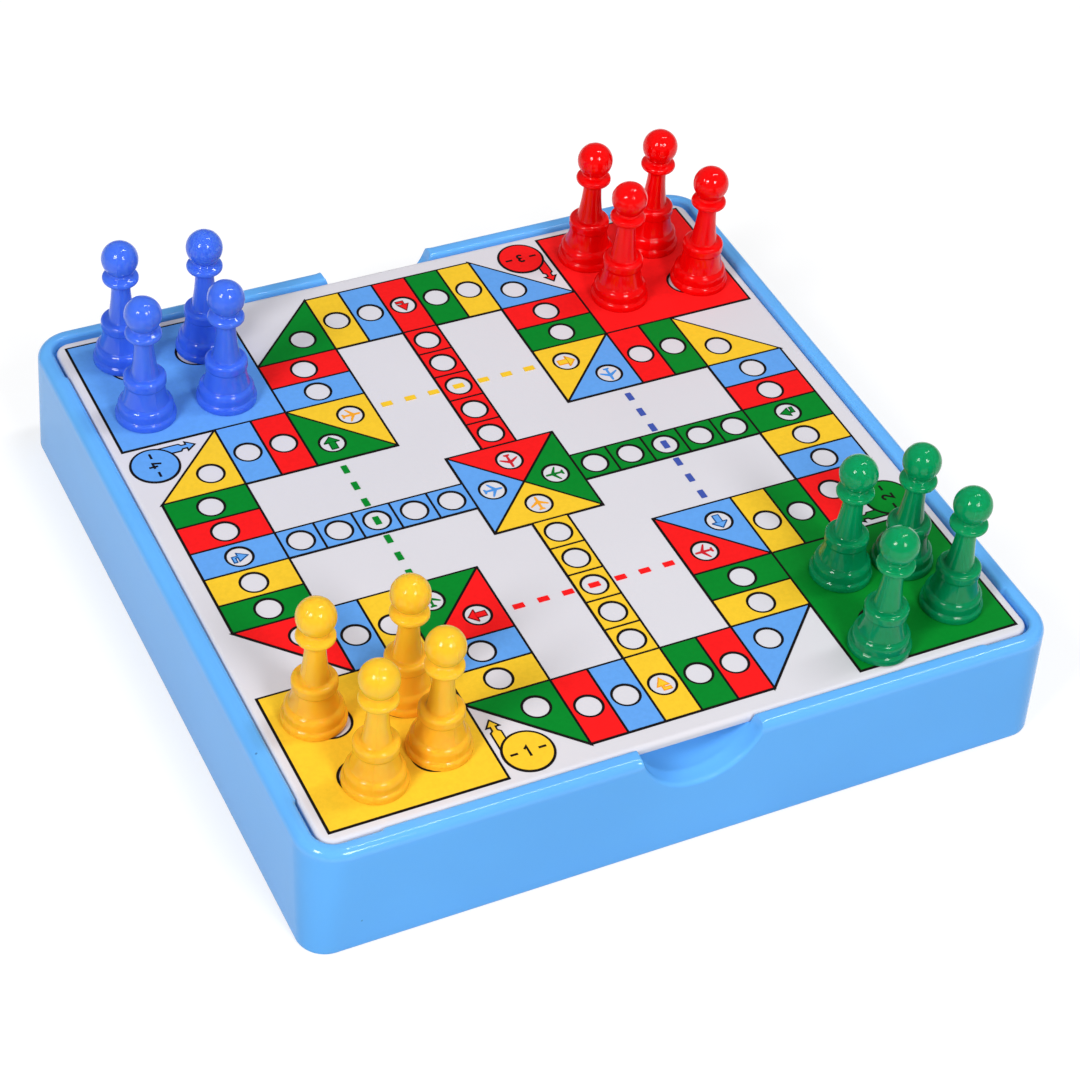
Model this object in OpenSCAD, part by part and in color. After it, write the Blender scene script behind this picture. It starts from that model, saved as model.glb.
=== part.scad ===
// Travel ludo set: a shallow moulded box whose lift-out lid is the playing board.
// Sixteen turned-look pawns stand on the board and a die lies in the store under it.
// Frame: origin under the middle of the box, +X along the front edge, +Y to the back, +Z up.

/* [Track] */
// Width of one track cell along the run
cell_w = 8.14; // [7:0.02:10]
// Length of one track cell across the run
cell_l = 18.5; // [16:0.05:22]
// Half side of the centre square
centre_half = 12.6; // [10:0.1:15]
// How far a corner square stands out past the track
corner_reach = 2.2; // [1:0.1:4]
// Width of a printed outline
line_w = 0.55; // [0.4:0.05:0.8]
// Thickness of one layer of ink
ink_t = 0.1; // [0.08:0.01:0.2]
// Diameter of the white spot in a cell
spot_d = 5.2; // [4:0.1:6]
// Diameter of the white spots in the corner squares
home_spot_d = 8.1; // [6:0.1:9]
// Distance of a half-square cell's spot from its right angle, along both legs
tri_spot = 5.65; // [5:0.05:6.5]
// Distance of a centre triangle's spot from the middle of the board
centre_spot = 7.4; // [6.5:0.1:8.5]
// Diameter of a start disc
start_d = 10.4; // [9:0.1:12]
// Gap from a start disc to its corner square
start_gap = 1.2; // [0.8:0.1:2]
// Gap from a start disc to the edge of the board
start_inset = 2.2; // [1:0.1:3]
// Length of one dash of a flight line
dash_l = 2.4; // [1.6:0.1:3]
// Width of one dash of a flight line
dash_w = 1.3; // [0.8:0.1:1.8]
// Gap from a home column to the first dash
dash_gap = 0.2; // [0.1:0.1:1]
// Gap from the last dash to the track
dash_end_gap = 2; // [1:0.1:3]

/* [Board] */
// Thickness of the board
board_t = 2; // [1.5:0.1:3]
// Bare margin outside the corner squares
board_margin = 2.37; // [0.8:0.01:3.5]
// Rounding of the board's top edge
board_edge_r = 1; // [0.3:0.1:1.2]
// Clearance between board and rim, all round
board_gap = 0.3; // [0.2:0.05:0.6]
// Depth of the board's top below the rim
board_drop = 0.7; // [0.4:0.1:2.5]

/* [Box] */
// Height of the box
box_h = 28; // [24:0.5:40]
// Radius of the box's upright corners
corner_r = 7.5; // [6:0.5:10]
// Width of the rim
rim_w = 4; // [3.5:0.1:5]
// Rounding of the rim's outer edge
rim_round = 2; // [1:0.1:2.4]
// Rounding of the rim's inner edge
rim_inner_round = 0.8; // [0.4:0.1:1]
// Depth of the relief in the rim's corners
relief_d = 0.5; // [0.4:0.1:1.2]
// Length of the relief along each side
relief_l = 12; // [8:0.5:16]
// Thickness of skirt, store wall and floor
wall = 1.6; // [1.2:0.1:2]
// Width of the ledge that carries the board
ledge_w = 3; // [2.5:0.1:4]
// Radius of the store's upright corners
store_r = 5; // [4:0.5:8]

/* [Finger scoops] */
// Radius of the ball that shapes a scoop
scoop_r = 13.5; // [13:0.5:17]
// Depth of a scoop below the rim, at the middle
scoop_depth = 10.5; // [8:0.5:11]
// Distance of the ball's middle from the box's outer face
scoop_inset = 1.5; // [0.5:0.1:3]

/* [Pawns] */
// Radius of the foot
foot_r = 6.6; // [6:0.1:7.2]
// Height of the foot
foot_h = 1.9; // [1.6:0.1:2.6]
// Rounding of the foot's upper edge
foot_edge_r = 1; // [0.6:0.1:1.2]
// Step from the foot in to the bell's lower band
bell_step = 0.6; // [0.3:0.1:0.9]
// Height of the bell's lower band
bell_band = 2.8; // [2.4:0.1:3]
// Rounding of the band's upper edge
band_edge_r = 1.6; // [1.2:0.1:1.8]
// Radius of the bell where its curve starts behind the band
bell_low_r = 5.6; // [5.2:0.1:5.6]
// Radius of the bell's upper end
bell_top_r = 4.2; // [3.7:0.1:4.3]
// Height of the middle of the lower collar
low_collar_z = 10; // [9.6:0.1:10.6]
// Radius of the lower collar
low_collar_r = 4.6; // [4.4:0.05:5]
// Thickness of the lower collar
low_collar_t = 2.7; // [2.2:0.1:3]
// Height of the middle of the upper collar
top_collar_z = 22.3; // [21.4:0.1:22.6]
// Radius of the upper collar
top_collar_r = 3.95; // [3.7:0.05:4.6]
// Thickness of the upper collar
top_collar_t = 1.7; // [1.7:0.1:2.2]
// Rounding of a collar's edges
collar_edge_r = 0.8; // [0.5:0.05:0.8]
// Rise of the upper collar's top towards the ball, for each mm inwards
collar_slope = 0.75; // [0.5:0.05:0.9]
// Radius of the neck where it leaves the lower collar
neck_low_r = 3.05; // [2.6:0.05:3.3]
// Radius of the neck under the upper collar
neck_top_r = 2; // [1.9:0.05:2.4]
// Radius of the throat between the upper collar and the ball
throat_r = 2.6; // [2.3:0.1:3]
// Radius of the ball
ball_r = 4; // [3.6:0.05:4.4]
// Height of the middle of the ball
ball_z = 27.2; // [26.4:0.1:28]
// Width of the ring that a pawn stands on
foot_wall = 1.4; // [1.2:0.1:2]
// Wall round the hollow inside a pawn, above the foot
pawn_wall = 1.3; // [1:0.1:1.6]
// Height of the hollow inside a pawn
hollow_h = 18.5; // [12:0.5:20]
// Free space between two pawns that stand square on their spots
pawn_space = 2; // [1.2:0.1:3]

/* [Die] */
// Side of the die
die_side = 10; // [8:0.5:12]
// Radius of the ball that rounds the die's corners
die_round_r = 7.2; // [6.6:0.1:8.6]
// Radius of a pip
pip_r = 0.95; // [0.7:0.05:1.1]
// Depth of a pip
pip_depth = 0.5; // [0.3:0.05:0.7]
// Distance of an outer pip from the middle of its face
pip_pitch = 2.5; // [2.2:0.1:2.8]
// Gap from the die to the two store walls that it lies by
die_gap = 2.5; // [1:0.5:10]

/* [Hidden] */
$fn = 64;
eps = 0.01;

// Track layout, worked out from one cell
run_half = 2.5 * cell_w;
inner_edge = run_half + cell_l;
band_edge = inner_edge + 2 * cell_w;
track_half = band_edge + cell_l;
corner_edge = track_half + corner_reach;
corner_mid = (inner_edge + corner_edge) / 2;
home_l = (band_edge - centre_half) / 5;
board_half = corner_edge + board_margin;
start_along = inner_edge - start_gap - start_d / 2;
start_from_middle = board_half - start_inset - start_d / 2;
first_dash = cell_w / 2 + line_w + dash_gap + dash_l / 2;
last_dash = run_half - dash_end_gap - dash_l / 2;

// Box and store, worked out from the board
rim_half = board_half + board_gap;
box_half = rim_half + rim_w;
store_half = rim_half - ledge_w;
board_top_z = box_h - board_drop;
ledge_z = board_top_z - board_t;
print_z = board_top_z + 2 * ink_t;
rim_corner_r = corner_r - rim_w;
board_band = (board_edge_r + rim_corner_r) / 2;
die_from_middle = store_half - die_gap - die_side / 2;

// Pawns: the bell follows the foot, and the spots follow the pawns
bell_r = foot_r - bell_step;
spot_pitch = 2 * foot_r + pawn_space;
// How far the lower end of a curve reaches into the piece below it
hidden_end = 0.5;

// Pawns stand a little off their spots, as a hand sets them down
stand_off = [
    [[-2.4, 2.3], [1.3, 1.5], [2.2, -1.8], [1.8, 1.5]],
    [[-3.5, -5.6], [-0.3, 0.7], [1.3, -0.7], [-1.5, -0.8]],
    [[3, -0.4], [-1.9, 0.6], [-1.3, 1.2], [-2.6, 1.4]],
    [[2.8, 1.2], [0.9, -1.6], [-0.2, 3.6], [-2, -0.8]]
];

COLOUR_NAMES = ["yellow", "green", "red", "blue"];
PRINT_RGB = [[0.97, 0.80, 0.18], [0.04, 0.55, 0.18], [0.97, 0.20, 0.18], [0.37, 0.65, 0.96]];
PAWN_RGB = [[1.0, 0.74, 0.16], [0.06, 0.58, 0.35], [0.95, 0.08, 0.10], [0.29, 0.45, 0.92]];

// Flat square with round corners
module round_square(half, r) {
    square([2 * half, 2 * (half - r)], center = true);
    square([2 * (half - r), 2 * half], center = true);
    for (sx = [-1, 1], sy = [-1, 1])
        translate([sx * (half - r), sy * (half - r)])
            circle(r);
}

// Upright block with round corners
module round_block(half, r, z0, z1) {
    translate([0, 0, z0])
        linear_extrude(z1 - z0)
            round_square(half, r);
}

// What a rounding of radius r takes off the edge at the origin, the solid lying at -x and -y
module edge_waste(r) {
    difference() {
        translate([-r, -r])
            square(r + eps);
        translate([-r, -r])
            circle(r);
    }
}

// Takes a flat profile round a square of the given half side and corner radius, x = 0 at the side
module round_sweep(half, r) {
    for (a = [0:90:270])
        rotate(a) {
            translate([half, half - r, 0])
                rotate([90, 0, 0])
                    linear_extrude(2 * (half - r))
                        children();
            translate([half - r, half - r, 0])
                rotate_extrude(angle = 90)
                    translate([r, 0])
                        children();
        }
}

// Section of the box's side: a thin skirt under a solid rim whose two edges are rounded
module side_section() {
    difference() {
        union() {
            translate([-wall, 0])
                square([wall, box_h]);
            translate([-rim_w, ledge_z - wall])
                square([rim_w, box_h - ledge_z + wall]);
        }
        translate([0, box_h])
            edge_waste(rim_round);
        translate([-rim_w, box_h])
            mirror([1, 0])
                edge_waste(rim_inner_round);
    }
}

// The ball that shapes a finger scoop, at the front
module scoop_ball(r) {
    translate([0, -box_half + scoop_inset, box_h + scoop_r - scoop_depth])
        sphere(r);
}

// The skin of the two finger scoops, inside the box
module scoop_skins() {
    intersection() {
        round_block(box_half - wall / 2, corner_r - wall / 2, wall / 2, ledge_z);
        for (a = [0, 180])
            rotate(a)
                scoop_ball(scoop_r + wall);
    }
}

// Skirt, rim, ledge and store, before the scoops and reliefs are cut
module tray_body() {
    difference() {
        union() {
            round_sweep(box_half, corner_r)
                side_section();
            round_block(box_half - rim_w / 2, corner_r - rim_w / 2, ledge_z - wall, ledge_z);
            round_block(store_half + wall, store_r + wall, 0, ledge_z - wall / 2);
        }
        round_block(store_half, store_r, wall, box_h);
    }
}

// Box: one moulding, open underneath between skirt and store
module tray() {
    color([0.41, 0.67, 0.96])
        difference() {
            union() {
                tray_body();
                scoop_skins();
            }
            for (sx = [-1, 1], sy = [-1, 1])
                intersection() {
                    round_block(rim_half + relief_d, rim_corner_r, ledge_z, box_h + eps);
                    translate([sx * rim_half, sy * rim_half, box_h])
                        cube([2 * relief_l, 2 * relief_l, 2 * box_h], center = true);
                }
            for (a = [0, 180])
                rotate(a)
                    scoop_ball(scoop_r);
        }
}

// Section of the band at the board's side, with the top edge rounded
module board_section() {
    difference() {
        translate([-board_band, ledge_z])
            square([board_band, board_t]);
        translate([0, board_top_z])
            edge_waste(board_edge_r);
    }
}

// Board: a flat plate that lies on the ledge inside the rim
module board() {
    inset = (board_edge_r + board_band) / 2;
    color([0.90, 0.90, 0.92])
        union() {
            round_sweep(board_half, rim_corner_r)
                board_section();
            round_block(board_half - inset, rim_corner_r - inset, ledge_z, board_top_z);
        }
}

// Right-angled half square with its right angle at the origin, drawn in or out by an even border
module half_square(side, border) {
    inside_r = side * (1 - sqrt(0.5));
    translate([inside_r, inside_r])
        scale(1 + border / inside_r)
            translate([-inside_r, -inside_r])
                polygon([[0, 0], [side, 0], [0, side]]);
}

// Rectangle given by two corners, drawn in or out by an even border
module field(x0, y0, x1, y1, border) {
    translate([x0 - border, y0 - border])
        square([x1 - x0 + 2 * border, y1 - y0 + 2 * border]);
}

// Triangle of the centre square, facing the front, drawn in or out by an even border
module centre_triangle(border) {
    inside_r = centre_half * (sqrt(2) - 1);
    translate([0, inside_r - centre_half])
        scale(1 + border / inside_r)
            translate([0, centre_half - inside_r])
                polygon([[0, 0], [-centre_half, -centre_half], [centre_half, -centre_half]]);
}

// One of the 13 cells from the left side's middle to the front's middle
module track_cell(k, border) {
    if (k < 2)
        field(-track_half, -(k + 1.5) * cell_w, -band_edge, -(k + 0.5) * cell_w, border);
    if (k == 2)
        translate([-band_edge, -run_half])
            rotate(180)
                half_square(cell_l, border);
    if (k == 3 || k == 4)
        field(-band_edge + (k - 3) * cell_w, -inner_edge, -band_edge + (k - 2) * cell_w, -run_half, border);
    if (k == 5)
        translate([-inner_edge, -run_half])
            rotate(-90)
                half_square(cell_l, border);
    if (k == 6)
        translate([-run_half, -inner_edge])
            rotate(90)
                half_square(cell_l, border);
    if (k == 7 || k == 8)
        field(-inner_edge, -inner_edge - (k - 6) * cell_w, -run_half, -inner_edge - (k - 7) * cell_w, border);
    if (k == 9)
        translate([-run_half, -band_edge])
            rotate(180)
                half_square(cell_l, border);
    if (k > 9)
        field((k - 12.5) * cell_w, -track_half, (k - 11.5) * cell_w, -band_edge, border);
}

// Middle of the spot of each of those 13 cells
function track_spot(k) =
    k < 2 ? [-band_edge - cell_l / 2, -(k + 1) * cell_w] :
    k == 2 ? [-band_edge - tri_spot, -run_half - tri_spot] :
    k < 5 ? [-band_edge + (k - 2.5) * cell_w, -run_half - cell_l / 2] :
    k == 5 ? [-inner_edge + tri_spot, -run_half - tri_spot] :
    k == 6 ? [-run_half - tri_spot, -inner_edge + tri_spot] :
    k < 9 ? [-run_half - cell_l / 2, -inner_edge - (k - 6.5) * cell_w] :
    k == 9 ? [-run_half - tri_spot, -band_edge - tri_spot] :
    [(k - 12) * cell_w, -band_edge - cell_l / 2];

// Middle of the spot of each home cell of the front column, and of the front centre triangle
function home_spot(k) = k < 5 ? [0, -centre_half - (k + 0.5) * home_l] : [0, -centre_spot];

// Middle of each of the four corner spots of the front left corner, row by row from the back
function corner_spot(k) =
    [-corner_mid + (k % 2 - 0.5) * spot_pitch, -corner_mid - (floor(k / 2) - 0.5) * spot_pitch];

// All white spots of one quarter, wider by an even border
module quarter_spots(border) {
    for (k = [0:12])
        translate(track_spot(k))
            circle(spot_d / 2 + border);
    for (k = [0:5])
        translate(home_spot(k))
            circle(spot_d / 2 + border);
    for (k = [0:3])
        translate(corner_spot(k))
            circle(home_spot_d / 2 + border);
}

// Black underlay of one quarter: every outlined shape, drawn out by half a line
module quarter_underlay() {
    half_line = line_w / 2;
    field(-run_half, -track_half, run_half, -band_edge, half_line);
    field(-inner_edge, -band_edge, -run_half, -run_half, half_line);
    field(-band_edge, -inner_edge, -inner_edge + cell_w, -run_half, half_line);
    field(-cell_w / 2, -band_edge, cell_w / 2, -centre_half, half_line);
    field(-corner_edge, -corner_edge, -inner_edge, -inner_edge, half_line);
    track_cell(2, half_line);
    track_cell(9, half_line);
    translate([-start_along, -start_from_middle])
        circle(start_d / 2 + half_line);
}

// Coloured fields of one quarter that have the colour c, drawn in by half a line
module quarter_fields(n, c) {
    half_line = -line_w / 2;
    for (k = [0:12])
        if ((n + k) % 4 == c)
            track_cell(k, half_line);
    if (n == c) {
        for (k = [0:4])
            field(-cell_w / 2, -centre_half - (k + 1) * home_l,
                  cell_w / 2, -centre_half - k * home_l, half_line);
        centre_triangle(half_line);
        field(-corner_edge, -corner_edge, -inner_edge, -inner_edge, half_line);
        translate([-start_along, -start_from_middle])
            circle(start_d / 2 + half_line);
    }
}

// Seven dashes of the flight line that crosses the front home column
module flight_line() {
    pitch = (last_dash - first_dash) / 2;
    for (k = [-3:3])
        translate([k == 0 ? 0 : sign(k) * first_dash + (k - sign(k)) * pitch, home_spot(2)[1]])
            square([dash_l, dash_w], center = true);
}

// Black layer, with the white spots left open down to the board
module print_black() {
    color([0.1, 0.1, 0.1])
        translate([0, 0, board_top_z])
            linear_extrude(ink_t)
                difference() {
                    union() {
                        square(2 * centre_half + line_w, center = true);
                        for (n = [0:3])
                            rotate(90 * n)
                                quarter_underlay();
                    }
                    for (n = [0:3])
                        rotate(90 * n)
                            quarter_spots(0);
                }
}

// One coloured layer over the black one, with a black ring left open round each spot
module print_layer(c) {
    color(PRINT_RGB[c]) {
        translate([0, 0, board_top_z + ink_t])
            linear_extrude(ink_t)
                difference() {
                    for (n = [0:3])
                        rotate(90 * n)
                            quarter_fields(n, c);
                    for (n = [0:3])
                        rotate(90 * n)
                            quarter_spots(line_w);
                }
        translate([0, 0, board_top_z])
            linear_extrude(2 * ink_t)
                rotate(90 * (c + 2))
                    flight_line();
    }
}

// Disc profile standing at height z, its upper edge rounded
module round_top_profile(r, h, edge_r, z) {
    translate([0, z]) {
        square([r, h - edge_r]);
        square([r - edge_r, h]);
        translate([r - edge_r, h - edge_r])
            circle(edge_r);
    }
}

// Collar profile with two rounded edges, its middle at height z
module collar_profile(r, t, z) {
    translate([0, z - t / 2]) {
        square([r - collar_edge_r, t]);
        translate([0, collar_edge_r])
            square([r, t - 2 * collar_edge_r]);
        for (y = [collar_edge_r, t - collar_edge_r])
            translate([r - collar_edge_r, y])
                circle(collar_edge_r);
    }
}

// Cone on the upper collar, which rises from the collar's round edge up to the ball
module cone_profile() {
    lean = sqrt(1 + collar_slope * collar_slope);
    touch_r = top_collar_r - collar_edge_r + collar_edge_r * collar_slope / lean;
    touch_z = top_collar_z + top_collar_t / 2 - collar_edge_r + collar_edge_r / lean;
    polygon([[0, top_collar_z], [touch_r, touch_z], [0, touch_z + collar_slope * touch_r]]);
}

// Profile under a hollow curve, upright at its top and flaring out to its lower end
module flared_profile(low_r, low_z, top_r, top_z) {
    drop = top_z - low_z;
    spread = low_r - top_r;
    curve_r = (drop * drop + spread * spread) / (2 * spread);
    difference() {
        translate([0, low_z - hidden_end])
            square([low_r, drop + hidden_end]);
        translate([top_r + curve_r, top_z])
            circle(curve_r, $fn = 128);
    }
}

// Outline of a pawn, right half
module pawn_profile() {
    intersection() {
        union() {
            round_top_profile(foot_r, foot_h, foot_edge_r, 0);
            round_top_profile(bell_r, bell_band, band_edge_r, foot_h);
            flared_profile(bell_low_r, foot_h + bell_band - band_edge_r, bell_top_r, low_collar_z);
            collar_profile(low_collar_r, low_collar_t, low_collar_z);
            flared_profile(neck_low_r, low_collar_z + low_collar_t / 2, neck_top_r, top_collar_z);
            collar_profile(top_collar_r, top_collar_t, top_collar_z);
            cone_profile();
            translate([0, top_collar_z])
                square([throat_r, ball_z - top_collar_z]);
            translate([0, ball_z])
                circle(ball_r);
        }
        square([2 * foot_r, 2 * ball_z]);
    }
}

// Tapered hollow inside a pawn, open at the foot
module hollow_profile() {
    polygon([[0, -eps], [foot_r - foot_wall, -eps], [neck_low_r - pawn_wall, low_collar_z],
             [neck_top_r - pawn_wall, hollow_h], [0, hollow_h]]);
}

// Pawn number i of colour c, standing on the printed board
module pawn(c, i) {
    color(PAWN_RGB[c])
        translate([stand_off[c][i][0], stand_off[c][i][1], print_z])
            rotate(90 * c)
                translate(corner_spot(i))
                    rotate_extrude()
                        difference() {
                            pawn_profile();
                            hollow_profile();
                        }
}

// Pips of one face of the die, the face looking up from the origin
module pips(count) {
    ball_r_pip = (pip_r * pip_r + pip_depth * pip_depth) / (2 * pip_depth);
    places = concat(
        count % 2 == 1 ? [[0, 0]] : [],
        count > 1 ? [[1, 1], [-1, -1]] : [],
        count > 3 ? [[1, -1], [-1, 1]] : [],
        count == 6 ? [[1, 0], [-1, 0]] : []
    );
    for (p = places)
        translate([p[0] * pip_pitch, p[1] * pip_pitch, ball_r_pip - pip_depth])
            sphere(ball_r_pip);
}

// Die: a cube rounded at its corners, with a hollow for each pip
module die() {
    turns = [[0, 0, 0], [90, 0, 0], [0, 90, 0], [0, -90, 0], [-90, 0, 0], [180, 0, 0]];
    color([0.96, 0.95, 0.92])
        translate([-die_from_middle, -die_from_middle, wall + die_side / 2])
            difference() {
                intersection() {
                    cube(die_side, center = true);
                    sphere(die_round_r);
                }
                for (k = [0:5])
                    rotate(turns[k])
                        translate([0, 0, die_side / 2])
                            pips(k + 1);
            }
}

tray();
board();
print_black();
for (c = [0:3])
    print_layer(c);
for (c = [0:3], i = [0:3])
    pawn(c, i);
die();
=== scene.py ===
# %% [markdown]
# # A travel ludo set
# This lesson dresses a small board game: a light blue moulded box, a printed white board that lies in it
# as its lid, sixteen glossy pawns, and a die that waits in the store under the board.
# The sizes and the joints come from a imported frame, so nothing here is fitted by eye: each piece is made
# in the frame's own place, in metres, and rides on the body that carries it.

# %% Load the frame
import math
import bmesh
import bpy
import numpy as np
from collections import Counter
from mathutils import Matrix, Quaternion, Vector
from typing import NamedTuple


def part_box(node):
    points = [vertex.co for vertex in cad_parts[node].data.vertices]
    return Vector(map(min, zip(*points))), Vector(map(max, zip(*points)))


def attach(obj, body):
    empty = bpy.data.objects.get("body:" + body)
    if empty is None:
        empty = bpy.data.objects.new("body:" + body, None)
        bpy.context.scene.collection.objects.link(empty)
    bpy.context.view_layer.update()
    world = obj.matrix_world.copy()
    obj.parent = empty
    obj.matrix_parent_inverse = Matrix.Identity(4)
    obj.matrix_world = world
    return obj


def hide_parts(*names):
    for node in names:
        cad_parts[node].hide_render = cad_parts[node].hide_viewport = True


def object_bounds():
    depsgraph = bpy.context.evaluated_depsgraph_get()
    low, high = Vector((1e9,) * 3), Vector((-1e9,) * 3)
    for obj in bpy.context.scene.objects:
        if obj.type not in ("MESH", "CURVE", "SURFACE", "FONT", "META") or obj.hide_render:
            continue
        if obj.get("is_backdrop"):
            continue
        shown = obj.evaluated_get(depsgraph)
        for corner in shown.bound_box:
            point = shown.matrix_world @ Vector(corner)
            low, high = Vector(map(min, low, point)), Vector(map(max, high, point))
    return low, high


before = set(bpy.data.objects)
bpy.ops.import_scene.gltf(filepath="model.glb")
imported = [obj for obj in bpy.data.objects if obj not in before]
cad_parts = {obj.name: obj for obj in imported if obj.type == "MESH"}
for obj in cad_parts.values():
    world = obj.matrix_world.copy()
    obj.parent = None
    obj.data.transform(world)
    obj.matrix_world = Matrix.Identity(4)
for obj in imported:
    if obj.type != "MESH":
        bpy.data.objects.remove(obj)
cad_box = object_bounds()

MM = 0.001
print("box of the frame in mm:", [tuple(round(x / MM, 2) for x in corner) for corner in cad_box])

# %% [markdown]
# ## The camera
# A product picture like this is taken with a long lens from the front left, well above the table.
# A camera can be placed by typing its location, but angles say more: the azimuth and elevation of the look,
# a small roll, and the distance to the point that the lens is aimed at.
# The long lens keeps the far side of the box almost as wide as the near side.

# %% Camera
LOOK_AZIMUTH = math.radians(29.14)
LOOK_ELEVATION = math.radians(42.64)
CAMERA_ROLL = math.radians(5.43)
CAMERA_DISTANCE = 591.7 * MM
CAMERA_AIM = Vector((-4.73, -17.79, 27.5)) * MM
LENS = 95.0
SENSOR = 36.0


def looking(azimuth):
    """The direction of a look at that azimuth, which dips as steeply as the camera's."""
    level = math.cos(LOOK_ELEVATION)
    return Vector((math.sin(azimuth) * level, math.cos(azimuth) * level, -math.sin(LOOK_ELEVATION)))


look = looking(LOOK_AZIMUTH)
camera = bpy.data.objects.new("camera", bpy.data.cameras.new("camera"))
camera.data.lens = LENS
camera.data.sensor_width = SENSOR
camera.rotation_mode = "QUATERNION"
camera.location = CAMERA_AIM - look * CAMERA_DISTANCE
camera.rotation_quaternion = look.to_track_quat("-Z", "Y") @ Quaternion((0, 0, 1), CAMERA_ROLL)
bpy.context.scene.collection.objects.link(camera)
bpy.context.scene.camera = camera
print("camera stands at", [round(x, 3) for x in camera.location])

# %% [markdown]
# ## Light and floor
# The shine on the pawns' heads tells how the set was lit: two oval lamps left and right of the camera, which
# look down as steeply as it does, and a long strip overhead. The strip hangs to the right and runs along the
# front edge, where it draws one thin line of light along the rim. The room is the world's own light: an even
# grey that fills the shadows.
# The camera looks down, so all that it sees behind the object is the floor. The floor should look white, so
# Light Path lets it glow for camera, glossy and transmission rays, while the light that falls on the object
# stays at a plain level. The floor is matt and pale, and it still takes the object's shadow.

# %% Lamps
LAMP_DISTANCE = 1.25
LAMP_SIZE = (0.32, 0.43)
LAMP_SPREAD = math.radians(36)
LEFT_POWER = 7.4
RIGHT_POWER = 6.2
STRIP_PLACE = Vector((0.46, 0.0, 1.2))
STRIP_SIZE = (0.1, 0.6)
STRIP_POWER = 4.0


def add_lamp(name, place, power, shape, size):
    """An area lamp of that shape and size, aimed at the table under the middle of the box."""
    data = bpy.data.lights.new(name, "AREA")
    data.energy = power
    data.shape = shape
    data.size, data.size_y = size
    lamp = bpy.data.objects.new(name, data)
    lamp.location = place
    lamp.rotation_mode = "QUATERNION"
    lamp.rotation_quaternion = (-place).to_track_quat("-Z", "Y")
    bpy.context.scene.collection.objects.link(lamp)


def beside_camera(turn):
    """A lamp's place, turned from the camera's by an angle round the box."""
    return -looking(LOOK_AZIMUTH + turn) * LAMP_DISTANCE


add_lamp("lamp_left", beside_camera(LAMP_SPREAD), LEFT_POWER, "ELLIPSE", LAMP_SIZE)
add_lamp("lamp_right", beside_camera(-LAMP_SPREAD), RIGHT_POWER, "ELLIPSE", LAMP_SIZE)
add_lamp("lamp_strip", STRIP_PLACE, STRIP_POWER, "RECTANGLE", STRIP_SIZE)

# %% Room
FILL = 0.25

world = bpy.data.worlds.new("room")
world.use_nodes = True
bpy.context.scene.world = world
background = world.node_tree.nodes["Background"]
background.inputs["Color"].default_value = (1, 1, 1, 1)
background.inputs["Strength"].default_value = FILL
bpy.context.scene.view_settings.view_transform = "Standard"
print("the room's fill light:", FILL)

# %% Floor
# PALE is the grey that bounced light meets. A ray that sees the floor gets SHADE, with GLOW on top of it.
FLOOR_REACH = 4.0
FLOOR_PALE = 0.64
FLOOR_GLOW = 0.62
FLOOR_SHADE = 0.46


def seen_directly(tree):
    """One where a camera, glossy or transmission ray looks, and zero where light only bounces."""
    path = tree.nodes.new("ShaderNodeLightPath")
    share = path.outputs["Is Camera Ray"]
    for kind in ("Is Glossy Ray", "Is Transmission Ray"):
        either = tree.nodes.new("ShaderNodeMath")
        either.operation = "MAXIMUM"
        tree.links.new(share, either.inputs[0])
        tree.links.new(path.outputs[kind], either.inputs[1])
        share = either.outputs[0]
    return share


def matt_grey(tree, grey):
    """A matt shader of an even grey."""
    matt = tree.nodes.new("ShaderNodeBsdfDiffuse")
    matt.inputs["Color"].default_value = (grey, grey, grey, 1)
    return matt.outputs[0]


floor_mesh = bpy.data.meshes.new("floor")
corners = [(x * FLOOR_REACH, y * FLOOR_REACH, 0) for x, y in ((-1, -1), (1, -1), (1, 1), (-1, 1))]
floor_mesh.from_pydata(corners, [], [(0, 1, 2, 3)])
floor = bpy.data.objects.new("floor", floor_mesh)
bpy.context.scene.collection.objects.link(floor)
floor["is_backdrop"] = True

paper = bpy.data.materials.new("pale_floor")
paper.use_nodes = True
tree = paper.node_tree
tree.nodes.clear()
glow = tree.nodes.new("ShaderNodeEmission")
glow.inputs["Strength"].default_value = FLOOR_GLOW
seen = tree.nodes.new("ShaderNodeAddShader")
tree.links.new(matt_grey(tree, FLOOR_SHADE), seen.inputs[0])
tree.links.new(glow.outputs[0], seen.inputs[1])
choose = tree.nodes.new("ShaderNodeMixShader")
tree.links.new(seen_directly(tree), choose.inputs[0])
tree.links.new(matt_grey(tree, FLOOR_PALE), choose.inputs[1])
tree.links.new(seen.outputs[0], choose.inputs[2])
surface = tree.nodes.new("ShaderNodeOutputMaterial")
tree.links.new(choose.outputs[0], surface.inputs["Surface"])
floor_mesh.materials.append(paper)
print("floor:", 2 * FLOOR_REACH, "m wide")

# %% [markdown]
# ## Finishes
# Everything here is injection moulded plastic or printed ink, so the finishes are built alike: one shader
# whose colour, roughness and bump are each fed by noise at the size of the real thing.
# A single flat colour would do from far away, but moulded plastic is never even: its colour drifts over a few
# centimetres, its shine breaks up over millimetres, and specks of dust are caught in the melt.
# A grain lists those sizes for one finish, and a few small helpers wire the nodes from it, so that each
# finish reads as a list of what it shows.

# %% Node helpers
PLASTIC_IOR = 1.48
SHINE_DETAIL = 3.0
# Most of a noise lies between these two values
NOISE_LOW = 0.3
NOISE_HIGH = 0.7


class Grain(NamedTuple):
    """How a finish varies over a surface. The sizes of its lumps and the depth of its bumps are in metres."""

    drift: float
    shades: tuple
    shine: float
    rough: tuple
    bump: float
    depth: float
    drift_detail: float = 2.0
    bump_detail: float = 2.0


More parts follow.
